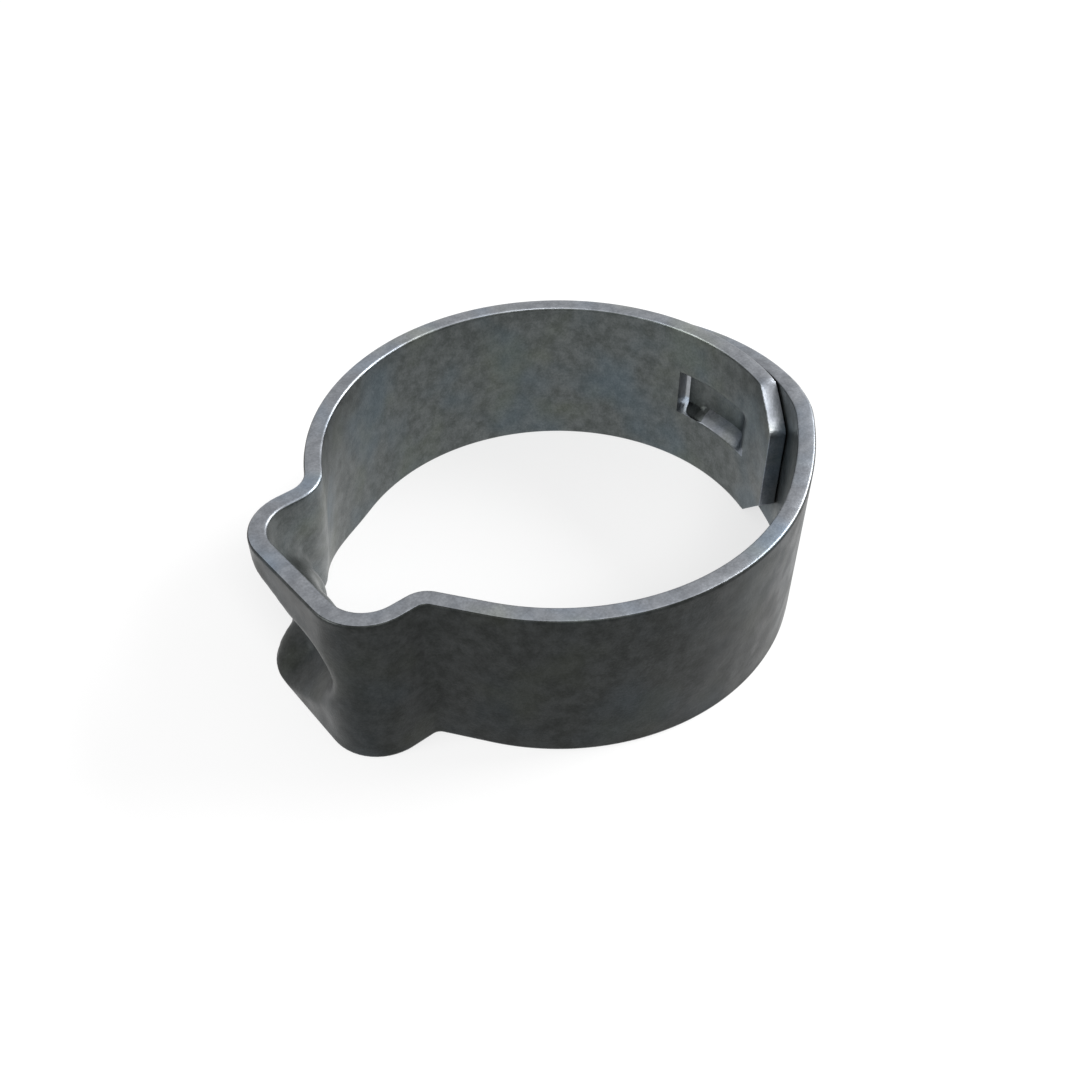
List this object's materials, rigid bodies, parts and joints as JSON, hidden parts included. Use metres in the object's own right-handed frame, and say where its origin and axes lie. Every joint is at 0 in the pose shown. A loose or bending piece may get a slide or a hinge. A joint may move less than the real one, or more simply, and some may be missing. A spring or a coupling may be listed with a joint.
{
  "type": "tubing clamp",
  "caption": "Open metal strip ring with one raised ear, for pinching round flexible tubing; its overlapped ends lock by a hook in a window.",
  "frame": {"origin": "centre of the bore, halfway between the strip's two edges", "axes": "+Z along the bore axis, +X from the bore centre away from the ear, so the ear points to -X and the hook is near +X; +Y completes the right-handed frame"},
  "size_m": [0.0229, 0.0194, 0.007],
  "materials": {
    "clamp_band": "zinc plated, matte"
  },
  "bodies": {
    "root": {"clamp_band": "clamp_band"}
  },
  "joints": []
}
